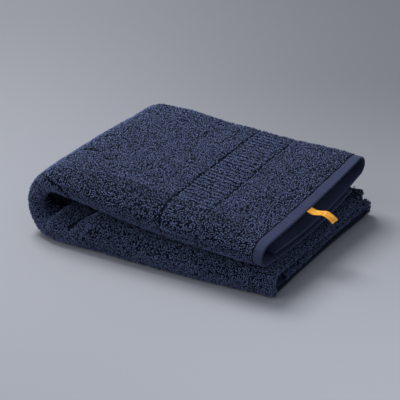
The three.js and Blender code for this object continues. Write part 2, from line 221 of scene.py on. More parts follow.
def smoothThrough(xs, ys, at):
    # monotone cubic through the points (xs, ys), read at every place in at
    step = np.diff(xs)
    rise = np.diff(ys) / step
    slope = np.zeros_like(ys)
    w1, w2 = 2 * step[1:] + step[:-1], step[1:] + 2 * step[:-1]
    level = rise[:-1] * rise[1:] > 0
    slope[1:-1][level] = (w1 + w2)[level] / (w1[level] / rise[:-1][level] + w2[level] / rise[1:][level])
    slope[0], slope[-1] = rise[0], rise[-1]
    k = np.clip(np.searchsorted(xs, at, side="right") - 1, 0, len(xs) - 2)
    t = (at - xs[k]) / step[k]
    start = (2 * t**3 - 3 * t**2 + 1) * ys[k] + (t**3 - 2 * t**2 + t) * step[k] * slope[k]
    end = (3 * t**2 - 2 * t**3) * ys[k + 1] + (t**3 - t**2) * step[k] * slope[k + 1]
    return start + end


def stations(at):
    # every column of both tables at the places in at
    found = {}
    for columns, table in ((pathColumns, path), (layerColumns, layers)):
        rows = np.array(table, float)
        for i, name in enumerate(columns[1:], 1):
            found[name] = smoothThrough(rows[:, 0], rows[:, i], at)
    return found


def withMounds(base, mounds, along, across):
    # base with the rounded rises and pockets of a table added to it
    for atAlong, atAcross, halfLength, halfWidth, height in mounds:
        gap2 = ((along - atAlong) / halfLength) ** 2 + ((across - atAcross) / halfWidth) ** 2
        base = base + height * np.exp(-gap2)
    return base


def coverWave(at, y):
    # the cover's unevenness: swells of two sizes and the placed dents
    wave = swell["broad"] * softNoise(at, y, swell["broadCell"], 3)
    wave = wave + swell["narrow"] * softNoise(at, y, swell["narrowCell"], 4)
    wave = withMounds(wave, dents, at, y)
    return wave * ease((at - swell["from"]) / swell["fadeIn"]) * ease((swell["to"] - at) / swell["fadeOut"])


def layerLevel(s, layer, y):
    # quadratic across the width through the layer's front, middle and back levels
    t = (y - s["front"]) / (s["back"] - s["front"])
    level = (
        s[layer + "Front"] * (1 - t) * (1 - 2 * t)
        + s[layer + "Middle"] * 4 * t * (1 - t)
        + s[layer + "Back"] * t * (2 * t - 1)
    )
    return level + coverWave(s["at"], y) if layer == "cover" else level


def lowerLevel(s, y):
    # the lower flap's level with the lip at the front fold and the curl at its far edge
    lipStart = s["front"] + s["heel"]
    lipStop = s["front"] + s["short"] - fold["lipEnd"]
    lip = s["lip"] * (1 - ease((y - lipStart) / (lipStop - lipStart)))
    curl = s["curl"] * ease((y - (s["back"] - s["tuck"] - fold["curlWidth"])) / fold["curlWidth"])
    return layerLevel(s, "lower", y) + lip - curl


def sectionPoint(s, u):
    # u runs 0 to 1 along the under flap, then round the back fold, over the cover, round the front fold and
    # along the lower flap to 5. The folds are half ellipses. Gives the place across and outward.
    whole = np.clip(np.floor(u), 0, 4)
    q = u - whole
    turn = np.pi * q
    backHalf = (layerLevel(s, "cover", s["back"]) - layerLevel(s, "under", s["back"])) / 2
    backDepth = np.minimum(fold["backRound"], backHalf**2 / fold["tightest"])
    frontHalf = (layerLevel(s, "cover", s["front"]) - lowerLevel(s, s["front"])) / 2
    shoulder = np.minimum(s["shoulder"], frontHalf**2 / fold["tightest"])
    heel = np.minimum(s["heel"], frontHalf**2 / fold["tightest"])
    yBack, yCover, yLower = s["back"] - backDepth, s["front"] + shoulder, s["front"] + heel

    yUnder = s["front"] + s["short"] + (yBack - s["front"] - s["short"]) * q
    outer, inner = layerLevel(s, "cover", yBack), layerLevel(s, "under", yBack)
    yRound = yBack + backDepth * np.sin(turn)
    rRound = (outer + inner) / 2 - (outer - inner) / 2 * np.cos(turn)
    yTop = yBack - (yBack - yCover) * q
    outer, inner = layerLevel(s, "cover", yCover), lowerLevel(s, yLower)
    yFront = s["front"] + np.where(q < 0.5, shoulder, heel) * (1 - np.sin(turn))
    rFront = (outer + inner) / 2 + (outer - inner) / 2 * np.cos(turn)
    yFlap = yLower + (s["back"] - s["tuck"] - yLower) * q

    pieces = [
        (yUnder, layerLevel(s, "under", yUnder)),
        (yRound, rRound),
        (yTop, layerLevel(s, "cover", yTop)),
        (yFront, rFront),
        (yFlap, lowerLevel(s, yFlap)),
    ]
    y = np.select([whole == k for k in range(5)], [piece[0] for piece in pieces])
    r = np.select([whole == k for k in range(5)], [piece[1] for piece in pieces])
    return y, r


def formPoint(run, width, height):
    # A point of the folded cloth. run: distance from the hem end along the outer side, then round the first
    # fold. width: flat place across, from the under flap's edge. height: outward from the cloth's middle.
    run, width, height = np.broadcast_arrays(run, width, height)
    at = np.clip(run, 0, lastRun)
    s = stations(at)
    s["at"] = at
    u = np.interp(width, partEdges, np.arange(6.0))
    nudge = 1e-3
    last = 5 - 1e-9
    y0, r0 = sectionPoint(s, np.clip(u, 0, last))
    yA, rA = sectionPoint(s, np.clip(u - nudge, 0, last))
    yB, rB = sectionPoint(s, np.clip(u + nudge, 0, last))
    size = np.hypot(yB - yA, rB - rA)
    half = cloth["apart"] / 2
    noseTurn = np.clip((run - lastRun) / noseReach, 0, np.pi)
    off = (half + height) * np.cos(noseTurn)
    beyond = (half + height) * np.sin(noseTurn)
    y = y0 + off * (rB - rA) / size
    r = r0 - off * (yB - yA) / size
    turn = np.radians(s["turn"])
    x = s["along"] + np.cos(turn) * r + beyond
    z = fold["middleHeight"] + np.sin(turn) * r
    across = (y - s["front"]) / (s["back"] - s["front"])
    crown = 4 * across * (1 - across)
    x = x - fold["bulge"] * crown * np.clip(np.cos(turn - np.radians(fold["bulgeTurn"])), 0, 1) ** 2
    underside = np.clip((s["turn"] - 180) / 90, 0, 1)
    x = x - fold["bow"] * crown * underside * np.clip((x - fold["bowFrom"]) / fold["bowOver"], 0, 1)
    return np.stack([x, y, z], -1)


# the form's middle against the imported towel's middle says where the form lies in the frame
runGrid, widthGrid = np.meshgrid(np.linspace(0, lastRun + 14, 240), np.linspace(0, clothEdge, 200))
formSpan = formPoint(runGrid, widthGrid, cloth["thick"] / 2).reshape(-1, 3)
formMiddle = (formSpan.min(axis=0) + formSpan.max(axis=0)) / 2
cadLow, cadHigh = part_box("towel_cloth")
place = np.array([(cadLow[i] + cadHigh[i]) / 2 / mm - formMiddle[i] for i in (0, 1)] + [0.0])
print("stage: form placed by", place.round(2), "mm")


# making meshes

def makeMesh(name, points, faces, smooth=True):
    # a mesh from an array of points in millimetres, in the form's place, and an array of faces
    mesh = bpy.data.meshes.new(name)
    corners = faces.shape[1]
    mesh.vertices.add(len(points))
    mesh.vertices.foreach_set("co", ((points + place) * mm).astype(np.float32).ravel())
    mesh.loops.add(faces.size)
    mesh.loops.foreach_set("vertex_index", faces.astype(np.int32).ravel())
    mesh.polygons.add(len(faces))
    mesh.polygons.foreach_set("loop_start", np.arange(0, faces.size, corners, dtype=np.int32))
    mesh.polygons.foreach_set("loop_total", np.full(len(faces), corners, dtype=np.int32))
    mesh.polygons.foreach_set("use_smooth", np.full(len(faces), smooth))
    mesh.update(calc_edges=True)
    mesh.validate()
    piece = bpy.data.objects.new(name, mesh)
    bpy.context.scene.collection.objects.link(piece)
    return piece


def addValues(piece, name, values):
    # a number for each point, which the materials read
    attribute = piece.data.attributes.new(name, "FLOAT", "POINT")
    attribute.data.foreach_set("value", np.asarray(values, np.float32).ravel())


def addFlatMap(piece, flat):
    # a UV map in metres of flat cloth, so that weaves keep their size
    layer = piece.data.uv_layers.new(name="flat")
    corner = np.empty(len(piece.data.loops), np.int32)
    piece.data.loops.foreach_get("vertex_index", corner)
    layer.data.foreach_set("uv", (flat[corner] * mm).astype(np.float32).ravel())


def ringFaces(rows, columns):
    # quads between rings of points, one ring to a row
    here = np.arange(rows - 1)[:, None] * columns
    c = np.arange(columns)[None, :]
    n = (c + 1) % columns
    quads = [here + c, here + columns + c, here + columns + n, here + n]
    return np.stack(quads, -1).reshape(-1, 4)


def repeated(pattern, count, size):
    # the triangles of many pieces alike, each with its own points
    return (np.arange(count)[:, None, None] * size + pattern).reshape(-1, 3)


def weld(piece):
    # merges points that lie on one another, which closes the ends of a sheet
    grown = bmesh.new()
    grown.from_mesh(piece.data)
    bmesh.ops.remove_doubles(grown, verts=grown.verts, dist=0.02 * mm)
    grown.to_mesh(piece.data)
    grown.free()


def unit(v):
    # vectors brought to length 1
    return v / np.maximum(np.linalg.norm(v, axis=-1, keepdims=True), 1e-9)


# where the pile shows, and the border in it

pile = {
    "pitch": 2.3,  # between loops
    "sink": 2.0,  # from the tips of the pile to the woven ground
    "uneven": 0.16,  # of the ground
    "height": 2.3,
    "heightRange": (-0.16, 0.16),
    "span": 2.0,  # between a loop's two feet
    "spanRange": (0.75, 1.2),
    "yarn": 0.6,  # half the yarn's thickness
    "yarnRange": (0.85, 1.15),
    "lean": 0.9,
    "leanRange": (0.3, 1.2),
    "twistRange": (-0.35, 0.35),
    "swing": (2.2, 7.0, 0.8),  # turn that neighbours share, in radians, its reach, and each loop's own part
    "leanTurn": (3.1, 9.0, 0.6),
    "spread": 0.30,  # share of the pitch by which a loop is out of line
    "drawn": 0.4,  # how far neighbours are drawn together
    "drawnCell": 4.6,
    "edge": 0.2,  # least distance from the cloth's edges
    "floorGap": 0.05,
    "gaps": 0.05,  # share of places where no loop stands up
    "shareLeast": 0.5,
    "grooveMost": 0.62,
    "clumpLeast": -0.74,
    "creased": -1.6,  # relief below which the loops of a crease are pressed flat
    "clumpCell": 2.5,
    "clumpHeight": 0.34,
    "clumpTint": 0.17,
    "ribDrop": 0.16,
    # painted light: the border's loops, most of all on its rib crests, are tinted lighter to make up for
    # their shade
    "ribLight": 0.28,
    "grooveDrop": 0.35,
    "tintSpread": 0.31,
    "shoulderShading": 0.62,  # painted shade: how light the shoulders are, from 0 at the shaded feet to 1 at the crown
}
# where the outer side carries loops, by the places and the lengths over which they thin out
pileArea = {
    "coverFrom": 214,
    "coverTo": 535,
    "hollowFrom": 525,
    "widthFade": 5,
    "hollowStart": 172,
    "hollowEnd": 505,
    "hollowFade": 6,
    "foldStart": 676,
    "foldFade": 5,
    "restStart": 380,  # past it the cloth may rest on the surface
    "restGap": 0.4,
    "restFade": 1.6,
}


def borderDrift(run, width):
    # how far the border's lines bow along the towel, fading out on both sides of it
    aside = np.clip((coverMiddle - width) / (partWidths[2] / 2), -border["skewLimit"], border["skewLimit"])
    bow = border["skew"] * aside
    bow = bow * ease((run - border["driftFrom"]) / border["driftFade"])
    return bow * ease((border["driftTo"] - run) / border["driftFade"])


def borderRelief(run, width):
    # 0 to 1 in the grooves, 0 to 1 within the border, and -1 to 1 across its ribs
    straight = run - borderDrift(run, width)
    first, second, half = border["firstGroove"], border["secondGroove"], border["grooveHalf"]
    worn = border["worn"] + border["wornChange"] * softNoise(width, 0 * width, 19, 13)
    groove = worn * np.exp(-(((straight - first) / half) ** 2) * border["grooveFall"])
    groove = groove + np.exp(-(((straight - second) / half) ** 2) * border["grooveFall"])
    inside = ease((straight - first) / half) * ease((second - straight) / half)
    inside = inside * (width > coverStart) * (width < frontFoldEnd)
    ribTurn = 2 * np.pi * border["ribCount"] * (width - coverStart) / (frontFoldEnd - coverStart)
    return groove, inside, -np.cos(ribTurn) * inside


def hemShare(run, width):
    # 1 on the hem and 0 on the pile. The hem's inner line wanders a little.
    wander = cloth["hemWander"] * softNoise(width, 0 * width, 13, 17)
    return 1 - ease((run + wander - cloth["hemWidth"]) / cloth["hemStep"])


def pileShare(run, width):
    # 1 where the outer side carries loops, 0 on the hem, and where cloth lies on cloth or on the surface
    area = pileArea
    fade = area["widthFade"]
    cover = ease((width - area["coverFrom"]) / fade) * ease((area["coverTo"] - width) / fade)
    hollow = ease((width - area["hollowFrom"]) / fade)
    hollow = hollow * ease((run - area["hollowStart"]) / area["hollowFade"])
    hollow = hollow * ease((area["hollowEnd"] - run) / area["hollowFade"])
    nose = ease((run - area["foldStart"]) / area["foldFade"])
    share = np.maximum(np.maximum(cover, hollow), nose)
    floorGap = formPoint(np.minimum(run, lastRun), width, cloth["thick"] / 2)[..., 2]
    resting = (run > area["restStart"]) * (1 - ease((floorGap - area["restGap"]) / area["restFade"]))
    return share * (1 - resting) * (1 - hemShare(run, width))


def pileRelief(run, width):
    # the creases and lumps of the pile: grooves along short lines, and rounded rises and pockets
    relief = 0.0 * run
    for runA, widthA, runB, widthB, depth, half in creases:
        alongRun, alongWidth = runB - runA, widthB - widthA
        length2 = alongRun**2 + alongWidth**2
        t = np.clip(((run - runA) * alongRun + (width - widthA) * alongWidth) / length2, 0, 1)
        gap2 = (run - runA - t * alongRun) ** 2 + (width - widthA - t * alongWidth) ** 2
        relief = relief - depth * np.exp(-gap2 / half**2)
    return withMounds(relief, lumps, run, width)


def halfThickness(hem):
    # half the cloth's thickness, where hem is 1 on the hem and 0 past it
    return (cloth["thick"] - (cloth["thick"] - cloth["hemThick"]) * hem) / 2


def groundHeight(run, width):
    # height of the woven ground on the outer side, from the cloth's middle
    groove, _, rib = borderRelief(run, width)
    unevenness = pile["uneven"] * softNoise(run, width, 5.0, 11)
    relief = -border["grooveDepth"] * groove + border["ribHeight"] * rib + pileRelief(run, width)
    sunk = relief + unevenness - pile["sink"]
    return halfThickness(hemShare(run, width)) + pileShare(run, width) * sunk


# the sheet of cloth

sheetSteps = {
    "widthSteps": [10, 12, 62, 26, 27],  # in the five parts of the section
    "hemRows": [3.0, 5.0, 7.0, 8.6, 9.3, 10.0],
    "hemStepRows": [0.0, 0.7, 1.4],  # from the hem's inner line
    "grooveRows": 4,  # on both sides of a groove's middle, 1 mm apart
    "borderRows": 14,
    "outerRow": 3.3,  # between rows on the rest of the outer cloth
    "innerRow": 8.0,
    "noseRows": 9,
    "endRows": 5,
    "edgeColumns": 3,
}


def sheetRows():
    # Rows along the cloth: the place on the strip, the angle round the line between the two cloths (0 on the
    # outer cloth, 180 degrees on the inner one) and the share of the thickness, which runs out at both ends.
    steps = sheetSteps
    half = cloth["thick"] / 2
    rounding = np.linspace(0, 1, steps["endRows"]) * np.pi / 2
    first, second = border["firstGroove"], border["secondGroove"]
    clear = steps["grooveRows"] + 1.0
    hem = np.append(steps["hemRows"], cloth["hemWidth"] + np.array(steps["hemStepRows"]))
    plain = np.arange(cloth["hemWidth"] + cloth["hemStep"], first - clear, steps["outerRow"])
    near = np.arange(-steps["grooveRows"], clear)
    between = np.linspace(first + clear, second - clear, steps["borderRows"])
    pastBorder = second + clear + 1
    after = np.linspace(pastBorder, lastRun, int((lastRun - pastBorder) / steps["outerRow"]))
    outer = np.sort(np.concatenate([hem, plain, near + first, near + second, between, after]))
    nose = np.linspace(0, np.pi, steps["noseRows"] + 2)[1:-1]
    inner = np.arange(lastRun, cloth["innerEnd"] + half + 1, -steps["innerRow"])
    hemEnd = cloth["hemThick"] / 2 * (1 - np.cos(rounding))
    innerEnd = cloth["innerEnd"] + half * (1 - np.sin(rounding))
    outerCount, innerCount = len(hemEnd) + len(outer), len(inner) + len(innerEnd)
    full = np.ones(len(outer) + len(nose) + len(inner))
    at = np.concatenate([hemEnd, outer, np.full(len(nose), lastRun), inner, innerEnd])
    angle = np.concatenate([np.zeros(outerCount), nose, np.full(innerCount, np.pi)])
    thin = np.concatenate([np.sin(rounding), full, np.cos(rounding)])
    return at, angle, thin


def makeTowelSheet():
    # One closed sheet. Each row is a ring round the cloth: over the outward face, round one edge, back along
    # the other face and round the other edge.
    at, angle, thin = sheetRows()
    parts = zip(partEdges, partEdges[1:], sheetSteps["widthSteps"])
    width = np.concatenate([np.linspace(a, b, n, endpoint=False) for a, b, n in parts])
    width = np.append(width, clothEdge - 1e-6)
    edge = np.linspace(0, np.pi, sheetSteps["edgeColumns"] + 2)[1:-1]
    ringWidth = np.concatenate([width, np.full(len(edge), width[-1]), width[::-1], np.zeros(len(edge))])
    ringSide = np.concatenate([np.ones(len(width)), np.cos(edge), -np.ones(len(width)), -np.cos(edge)])
    run = at[:, None] + 0 * ringWidth[None, :]
    widths = np.broadcast_to(ringWidth, run.shape)
    side = np.broadcast_to(ringSide, run.shape)
    pastOuter = angle[:, None] > 0
    innerCloth = angle[:, None] == np.pi
    nose = pastOuter & ~innerCloth
    hem = np.where(pastOuter, 0, hemShare(run, widths))
    drifted = run + np.where(pastOuter, 0, borderDrift(run, widths))
    plainHalf = halfThickness(hem)
    turnedHalf = np.where(nose, plainHalf - pile["sink"], plainHalf)
    faceHalf = np.where(pastOuter, turnedHalf, groundHeight(drifted, widths))
    half = side * np.where(side > 0, faceHalf, plainHalf) * thin[:, None]
    # round the first fold, formPoint takes the angle as a run past the last station
    reached = np.where(pastOuter, lastRun + noseReach * angle[:, None], drifted)
    points = formPoint(reached, widths, half)
    # the inner cloth lies at its own place on the strip, on the far side of the line between the cloths
    innerPoints = formPoint(run, widths, -cloth["apart"] - half)
    points = np.where(innerCloth[..., None], innerPoints, points)
    piece = makeMesh("towel_sheet", points.reshape(-1, 3), ringFaces(*run.shape))
    flatRun = np.where(pastOuter, reached + (lastRun - run), drifted)
    addFlatMap(piece, np.stack([flatRun, widths], -1).reshape(-1, 2))
    outerFace = ~pastOuter & (side > 0)
    bare = np.where(outerFace, 1 - pileShare(drifted, widths), np.where(nose, 0, 1))
    addValues(piece, "hem", hem)
    addValues(piece, "bare", bare * (1 - hem))
    weld(piece)
    return piece


towelSheet = makeTowelSheet()
print("stage: towel sheet,", len(towelSheet.data.polygons), "faces")


# the pile's loops

loopZones = [
    # name, run from and to, width from and to
    ("pile_top", 12.6, 292, coverStart, coverEnd),
    ("pile_bend", 292, 432, coverStart, coverEnd),
    ("pile_front", 12.6, lastRun, coverEnd, pileArea["coverTo"]),
    ("pile_back", 12.6, lastRun, pileArea["coverFrom"], coverStart),
    ("pile_hollow", pileArea["hollowStart"], pileArea["hollowEnd"], pileArea["coverTo"], clothEdge - 0.5),
    ("pile_first_fold", pileArea["foldStart"], lastRun + 15.0, 0.5, clothEdge - 0.5),
]


def pileClumps(run, width):
    # -1 to 1: where loops stand taller and lighter together, and where they lie low
    return softNoise(run, width, pile["clumpCell"], 41)


def sharedTurn(run, width, settings, seed, draw):
    # a turn in radians that neighbours mostly share
    most, cell, own = settings
    return most * softNoise(run, width, cell, seed) + draw.normal(0, own, len(run))


def evenRows(runFrom, runTo, width, pitch):
    # runs a pitch apart as measured on the cloth's outer side, which the bend stretches and closes up
    fine = np.linspace(runFrom, runTo, 800)
    line = formPoint(fine, width, cloth["thick"] / 2)
    measured = np.append(0, np.cumsum(np.linalg.norm(np.diff(line, axis=0), axis=-1)))
    count = round(measured[-1] / pitch)
    return np.interp((np.arange(count) + 0.5) * measured[-1] / count, measured, fine)


def loopPlaces(zone, seed):
    # rows of loops half a step out of line with one another, each a little out of place, drawn into clumps
    name, runFrom, runTo, widthFrom, widthTo = zone
    draw = np.random.default_rng(seed)
    pitch, spread = pile["pitch"], pile["spread"]
    rows = evenRows(runFrom, runTo, (widthFrom + widthTo) / 2, pitch)
    step = (widthTo - widthFrom) / round((widthTo - widthFrom) / pitch)
    columns = np.arange(widthFrom + step / 4, widthTo, step)
    run, width = np.meshgrid(rows, columns, indexing="ij")
    width = width + step / 2 * (np.arange(len(rows)) % 2)[:, None]
    run = run + draw.uniform(-1, 1, run.shape) * spread * np.gradient(rows)[:, None]
    width = width + draw.uniform(-1, 1, run.shape) * spread * pitch
    run = run + pile["drawn"] * softNoise(run, width, pile["drawnCell"], 21)
    width = width + pile["drawn"] * softNoise(run, width, pile["drawnCell"], 22)
    run = run.ravel()
    width = np.clip(width.ravel(), pile["edge"], clothEdge - pile["edge"])
    kept = pileShare(run, width) > pile["shareLeast"]
    kept &= borderRelief(run, width)[0] < pile["grooveMost"]
    kept &= run > cloth["hemWidth"] + 1
    kept &= pileClumps(run, width) > pile["clumpLeast"]
    kept &= draw.uniform(0, 1, len(run)) > pile["gaps"]
    kept &= pileRelief(run, width) > pile["creased"]
    if name in ("pile_front", "pile_back"):  # the first fold has its own loops
        kept &= run <= pileArea["foldStart"]
    return run[kept], width[kept]


def makeLoops(zone, seed):
    # Each loop is an arch of yarn: a pointed foot in the ground, three rings of three points over the arch,
    # and the other foot. It stands on the ground's normal and leans with its neighbours.
    run, width = loopPlaces(zone, seed)
    draw = np.random.default_rng(seed + 100)
    count = len(run)
    ground = np.where(run > lastRun, cloth["thick"] / 2 - pile["sink"], groundHeight(run, width))
    base = formPoint(run, width, ground)
    step = 0.4
    lift = 0.5
    alongRun = unit(formPoint(run + step, width, ground) - formPoint(run - step, width, ground))
    alongWidth = unit(formPoint(run, width + step, ground) - formPoint(run, width - step, ground))
    outward = unit(formPoint(run, width, ground + lift) - base)
    groove, inside, rib = borderRelief(run, width)
    swing = sharedTurn(run, width, pile["swing"], 31, draw)
    heading = np.cos(swing)[:, None] * alongWidth + np.sin(swing)[:, None] * alongRun
    heading = unit(heading - outward * np.sum(heading * outward, -1, keepdims=True))
    sideways = np.cross(outward, heading)
    clumps = pileClumps(run, width)
    tall = pile["height"] * (1 + pile["clumpHeight"] * clumps + draw.uniform(*pile["heightRange"], count))
    tall = tall * (1 - pile["ribDrop"] * inside * (1 - rib)) * (1 - pile["grooveDrop"] * groove)
    leanTurn = sharedTurn(run, width, pile["leanTurn"], 35, draw)
    lean = pile["lean"] * draw.uniform(*pile["leanRange"], count)[:, None] * (
        np.cos(leanTurn)[:, None] * heading + np.sin(leanTurn)[:, None] * sideways)
    wide = pile["span"] / 2 * draw.uniform(*pile["spanRange"], count)
    twist = draw.uniform(*pile["twistRange"], count)[:, None] * sideways
    yarn = pile["yarn"] * draw.uniform(*pile["yarnRange"], count)

    # feet, shoulders and crown: place along the heading, height and twist, as shares
    spots = [(-0.9, -0.25, -1), (-0.95, 0.60, -0.6), (0.0, 0.95, 0.0), (0.95, 0.60, 0.6), (0.9, -0.25, 1)]
    line = np.stack([
        base + (a * wide)[:, None] * heading + (b * tall)[:, None] * outward + max(b, 0) * lean + c * twist
        for a, b, c in spots
    ], 1)
    tangent = unit(line[:, 2:] - line[:, :-2])
    over = unit(np.cross(tangent, sideways[:, None, :]))
    turns = np.radians([90, 210, 330])[:, None]
    around = np.cos(turns) * sideways[:, None, None, :] - np.sin(turns) * over[:, :, None, :]
    ring = line[:, 1:4, None, :] + yarn[:, None, None, None] * around
    points = np.concatenate([line[:, :1], ring.reshape(count, 9, 3), line[:, 4:]], 1)
    points[..., 2] = np.maximum(points[..., 2], pile["floorGap"])
    k = np.arange(3)
    n = (k + 1) % 3
    first = np.stack([0 * k, 1 + n, 1 + k], -1)
    last = np.stack([0 * k + 10, 7 + k, 7 + n], -1)
    walls = [np.stack([a + k, a + n, a + 3 + n], -1) for a in (1, 4)]
    walls += [np.stack([a + k, a + 3 + n, a + 3 + k], -1) for a in (1, 4)]
    faces = repeated(np.concatenate([first, *walls, last]), count, 11)
    piece = makeMesh(zone[0], points.reshape(-1, 3), faces)
    # tone: random by loop and by clump, plus painted light that lifts the border's loops and its rib crests
    toneAndLight = 0.5 + pile["clumpTint"] * clumps + pile["ribLight"] * inside * (1.0 + rib)
    toneAndLight = np.clip(toneAndLight + draw.normal(0, pile["tintSpread"], count), 0, 1)
    # depth carries painted shade, from 0 at the feet where shade falls to 1 at the crown
    shoulder = [pile["shoulderShading"]] * 3
    addValues(piece, "toneAndLight", np.repeat(toneAndLight, 11))
    addValues(piece, "depth", np.tile([0.0, *shoulder, 1.0, 1.0, 1.0, *shoulder, 0.0], count))
    print("stage:", zone[0], count, "loops,", len(faces), "faces")
    return piece


pileLoops = [makeLoops(zone, 50 + i) for i, zone in enumerate(loopZones)]


# the hem's stitching

stitching = {
    "fromEnd": 8.8,
    "fromEdge": 2.0,
    "length": 2.3,
    "pitch": 3.0,
    "thick": 0.22,
    "proud": 0.05,
    "sunk": 0.25,  # at both ends
}


def makeStitches():
    # A row of short flat spindles along the hem: a point, a ring of four and a point, sunk into the cloth.
    width = np.arange(stitching["fromEdge"], clothEdge - stitching["fromEdge"], stitching["pitch"])
    run = np.full(len(width), stitching["fromEnd"])
    height = groundHeight(run, width)
    middle = formPoint(run, width, height + stitching["proud"])
    start = formPoint(run, width - stitching["length"] / 2, height - stitching["sunk"])
    end = formPoint(run, width + stitching["length"] / 2, height - stitching["sunk"])
    outward = formPoint(run, width, height + 1) - formPoint(run, width, height)
    across = np.cross(outward, unit(end - start))
    thick = stitching["thick"]
    ring = [middle + side * thick for side in (across, outward, -across, -outward)]
    points = np.stack([start, *ring, end], 1)
    k = np.arange(4)
    n = (k + 1) % 4
    startFan = np.stack([0 * k, 1 + n, 1 + k], -1)
    endFan = np.stack([0 * k + 5, 1 + k, 1 + n], -1)
    faces = repeated(np.concatenate([startFan, endFan]), len(width), 6)
    return makeMesh("hem_stitches", points.reshape(-1, 3), faces)


hemStitches = makeStitches()
print("stage: hem stitches")


# the label

label = {
    "width": 12.5,
    "thick": 0.7,
    "gap": 0.3,
    "start": 0.05,  # past the gap
    "root": 0.59,  # place of its root along the cover's end, from the back fold to the front one
    "cup": 0.35,  # how much its long edges curl
    "cupTurn": 1.5,  # half turns that the curl goes through along it
    "skew": 0.24,
    "skewRise": 3,  # full skew is reached at one third of its length
    "standRise": 6,
    "lengthSteps": 90,
    "widthSteps": 24,
    "edgeColumns": 3,
}
# out from the hem end, and up from the hem's middle
labelLine = [(0, 0), (7, -2.4), (14, -1.4), (20, 0), (27, -2), (34.5, -7)]


def makeLabel():
    # A ribbon carried along the label's line, a closed sheet whose rows are rings round the ribbon.
    outs, ups = np.array(labelLine, float).T
    root = formPoint(0.0, coverStart + label["root"] * partWidths[2], 0.0)
    t = np.linspace(0, 1, label["lengthSteps"] + 1)
    x = outs[-1] * t
    z = smoothThrough(outs, ups, x)
    slope = np.gradient(z, x)
    norm = np.hypot(1, slope)
    nx, nz = -slope / norm, 1 / norm
    v = np.linspace(-1, 1, label["widthSteps"] + 1)
    turn = np.linspace(0, np.pi, label["edgeColumns"] + 2)[1:-1]
    ringV = np.concatenate([v, np.ones(len(turn)), v[::-1], -np.ones(len(turn))])
    ringOut = np.concatenate([np.zeros(len(v)), np.sin(turn), np.zeros(len(v)), -np.sin(turn)])
    ringSide = np.concatenate([np.ones(len(v)), np.cos(turn), -np.ones(len(v)), -np.cos(turn)])
    endShare = np.ones(len(t))
    endShare[0] = endShare[-1] = 0.0
    half = label["thick"] / 2 * endShare[:, None] * ringSide[None, :]
    cup = label["cup"] * (ringV[None, :] ** 2) * np.sin(np.pi * t * label["cupTurn"])[:, None]
    across = ringV * label["width"] / 2
    y = across[None, :] + ringOut[None, :] * label["thick"] / 2 + 0 * t[:, None]
    along = x[:, None] + label["skew"] * ringV[None, :] * ease(t * label["skewRise"])[:, None]
    along = along + (half + cup) * nx[:, None] * ease(t * label["standRise"])[:, None]
    px = root[0] + label["gap"] + label["start"] + np.maximum(0, along)
    pz = root[2] + z[:, None] + (half + cup) * nz[:, None]
    points = np.stack([px, root[1] + y, pz], -1)
    piece = makeMesh("label_weave", points.reshape(-1, 3), ringFaces(len(t), len(ringV)))
    flat = np.stack([x[:, None] + 0 * y, y], -1)
    addFlatMap(piece, flat.reshape(-1, 2))
    addValues(piece, "selvedge", np.broadcast_to(np.abs(ringV), y.shape))
    weld(piece)
    return piece


labelWeave = makeLabel()
print("stage: label")


# materials

def newMaterial(name):
    # a material, by a function that adds nodes and one that fills in its shader. Every input takes a value,
    # or the output that is linked to it.
    material = bpy.data.materials.new(name)
    material.use_nodes = True
    tree = material.node_tree

    def fill(node, inputs):
        for key, value in inputs.items():
            if isinstance(value, bpy.types.NodeSocket):
                tree.links.new(value, node.inputs[key])
            else:
                node.inputs[key].default_value = value
        return node

    def add(kind, inputs=None, **settings):
        node = tree.nodes.new(kind)
        for key, value in settings.items():
            setattr(node, key, value)
        return fill(node, inputs or {})

    def shade(inputs):
        fill(tree.nodes["Principled BSDF"], inputs)
        return material

    return add, shade


def colourRamp(add, source, stops):
    node = add("ShaderNodeValToRGB", {"Fac": source})
    ramp = node.color_ramp
    while len(ramp.elements) < len(stops):
        ramp.elements.new(0.5)
    for element, (position, colour) in zip(ramp.elements, stops):
        element.position = position
        element.color = (*colour, 1)
    return node.outputs["Color"]


def attribute(add, name):
    return add("ShaderNodeAttribute", attribute_name=name).outputs["Fac"]


def noise(add, source, scale, detail, **settings):
    inputs = {"Vector": source, "Scale": scale, "Detail": detail}
    return add("ShaderNodeTexNoise", inputs, **settings).outputs["Fac"]


def product(add, a, b):
    return add("ShaderNodeMath", {0: a, 1: b}, operation="MULTIPLY").outputs["Value"]


def bump(add, height, strength, distance, **under):
    # distance is in metres. Normal may give another bump under this one
    inputs = {"Height": height, "Strength": strength, "Distance": distance, **under}
    return add("ShaderNodeBump", inputs).outputs["Normal"]


terryLook = {
    # the loops' colour from foot to crown is painted shade, darkest at the feet where shade falls between the
    # loops
    "footShade": (0.005, 0.006, 0.011),
    "low": (0.028, 0.035, 0.061),
    "high": (0.105, 0.136, 0.258),
    "lowPlace": 0.6,
    "toneLow": 0.62,
    "toneHigh": 1.46,
    "patches": 22,  # patches to the metre
    "patchLow": 0.93,
    "patchHigh": 1.07,
    "fibres": 2600,
    "fibreHeight": 0.0002,
    "sheen": 0.18,
    "sheenTint": (0.45, 0.52, 0.80, 1),
    "roughness": 0.92,
}


